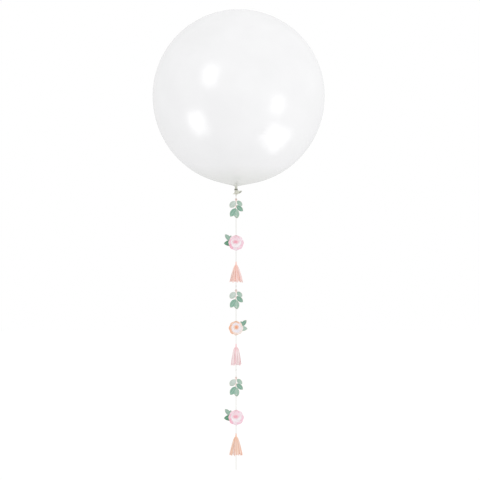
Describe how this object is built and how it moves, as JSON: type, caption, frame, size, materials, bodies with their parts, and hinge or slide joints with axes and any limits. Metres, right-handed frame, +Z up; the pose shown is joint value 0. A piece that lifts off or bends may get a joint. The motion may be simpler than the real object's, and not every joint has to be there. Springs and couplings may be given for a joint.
{
  "type": "latex balloon with garland tail",
  "caption": "Large round white latex balloon tied at the neck, with a hanging twine tail threaded with leaf cards, rose cards and tissue-paper tassels.",
  "frame": {"origin": "the tie on the balloon's neck, where the tail's loop goes round it", "axes": "+Z up through the balloon, -Y the side that the cards face, +X to the right of that side"},
  "size_m": [0.9135, 0.914, 2.4446],
  "materials": {
    "latex": "satin",
    "tie_cord": "matte",
    "cotton_twine": "matte",
    "leaf_card": "matte",
    "pink_rose_card": "matte",
    "peach_rose_card": "matte",
    "peach_tissue": "matte",
    "pink_tissue": "matte"
  },
  "bodies": {
    "balloon": {"balloon_skin": "latex", "neck_gather": "latex", "neck_end": "latex", "mouth_rim": "latex", "neck_tie": "tie_cord", "tail_loop": "cotton_twine"},
    "tail_bend_1": {"loop_knot": "cotton_twine"},
    "tail_1": {"twine_1": "cotton_twine", "stopper_knot_1": "cotton_twine"},
    "sprig_1_card": {"sprig_1": "leaf_card", "sprig_twine_1": "cotton_twine"},
    "rose_1_card": {"rose_1": "pink_rose_card", "rose_twine_1": "cotton_twine"},
    "tassel_1_piece": {"tassel_head_1": "peach_tissue", "tassel_skirt_1": "peach_tissue"},
    "tail_bend_2": {"joining_knot_1": "cotton_twine"},
    "tail_2": {"twine_2": "cotton_twine", "stopper_knot_2": "cotton_twine"},
    "sprig_2_card": {"sprig_2": "leaf_card", "sprig_twine_2": "cotton_twine"},
    "rose_2_card": {"rose_2": "peach_rose_card", "rose_twine_2": "cotton_twine"},
    "tassel_2_piece": {"tassel_head_2": "pink_tissue", "tassel_skirt_2": "pink_tissue"},
    "tail_bend_3": {"joining_knot_2": "cotton_twine"},
    "tail_3": {"twine_3": "cotton_twine", "stopper_knot_3": "cotton_twine"},
    "sprig_3_card": {"sprig_3": "leaf_card", "sprig_twine_3": "cotton_twine"},
    "rose_3_card": {"rose_3": "pink_rose_card", "rose_twine_3": "cotton_twine"},
    "tassel_3_piece": {"tassel_head_3": "peach_tissue", "tassel_skirt_3": "peach_tissue"}
  },
  "joints": [
    {"name": "tail_1_side", "type": "hinge", "parent": "balloon", "child": "tail_bend_1", "pos_m": [0, 0, -0.034], "axis": [0, 1, 0], "range_deg": [-60, 60]},
    {"name": "tail_1_front", "type": "hinge", "parent": "tail_bend_1", "child": "tail_1", "pos_m": [0, 0, -0.034], "axis": [1, 0, 0], "range_deg": [-60, 60]},
    {"name": "sprig_1_turn", "type": "hinge", "parent": "tail_1", "child": "sprig_1_card", "pos_m": [0, 0, -0.1], "axis": [0, 0, 1], "continuous": true},
    {"name": "rose_1_turn", "type": "hinge", "parent": "tail_1", "child": "rose_1_card", "pos_m": [0, 0, -0.284], "axis": [0, 0, 1], "continuous": true},
    {"name": "tassel_1_turn", "type": "hinge", "parent": "tail_1", "child": "tassel_1_piece", "pos_m": [0, 0, -0.44], "axis": [0, 0, 1], "continuous": true},
    {"name": "tail_2_side", "type": "hinge", "parent": "tail_1", "child": "tail_bend_2", "pos_m": [0, 0, -0.514], "axis": [0, 1, 0], "range_deg": [-30, 30]},
    {"name": "tail_2_front", "type": "hinge", "parent": "tail_bend_2", "child": "tail_2", "pos_m": [0, 0, -0.514], "axis": [1, 0, 0], "range_deg": [-30, 30]},
    {"name": "sprig_2_turn", "type": "hinge", "parent": "tail_2", "child": "sprig_2_card", "pos_m": [0, 0, -0.58], "axis": [0, 0, 1], "continuous": true},
    {"name": "rose_2_turn", "type": "hinge", "parent": "tail_2", "child": "rose_2_card", "pos_m": [0, 0, -0.737], "axis": [0, 0, 1], "continuous": true},
    {"name": "tassel_2_turn", "type": "hinge", "parent": "tail_2", "child": "tassel_2_piece", "pos_m": [0, 0, -0.878], "axis": [0, 0, 1], "continuous": true},
    {"name": "tail_3_side", "type": "hinge", "parent": "tail_2", "child": "tail_bend_3", "pos_m": [0, 0, -0.96], "axis": [0, 1, 0], "range_deg": [-30, 30]},
    {"name": "tail_3_front", "type": "hinge", "parent": "tail_bend_3", "child": "tail_3", "pos_m": [0, 0, -0.96], "axis": [1, 0, 0], "range_deg": [-30, 30]},
    {"name": "sprig_3_turn", "type": "hinge", "parent": "tail_3", "child": "sprig_3_card", "pos_m": [0, 0, -1.044], "axis": [0, 0, 1], "continuous": true},
    {"name": "rose_3_turn", "type": "hinge", "parent": "tail_3", "child": "rose_3_card", "pos_m": [0, 0, -1.212], "axis": [0, 0, 1], "continuous": true},
    {"name": "tassel_3_turn", "type": "hinge", "parent": "tail_3", "child": "tassel_3_piece", "pos_m": [0, 0, -1.355], "axis": [0, 0, 1], "continuous": true}
  ]
}
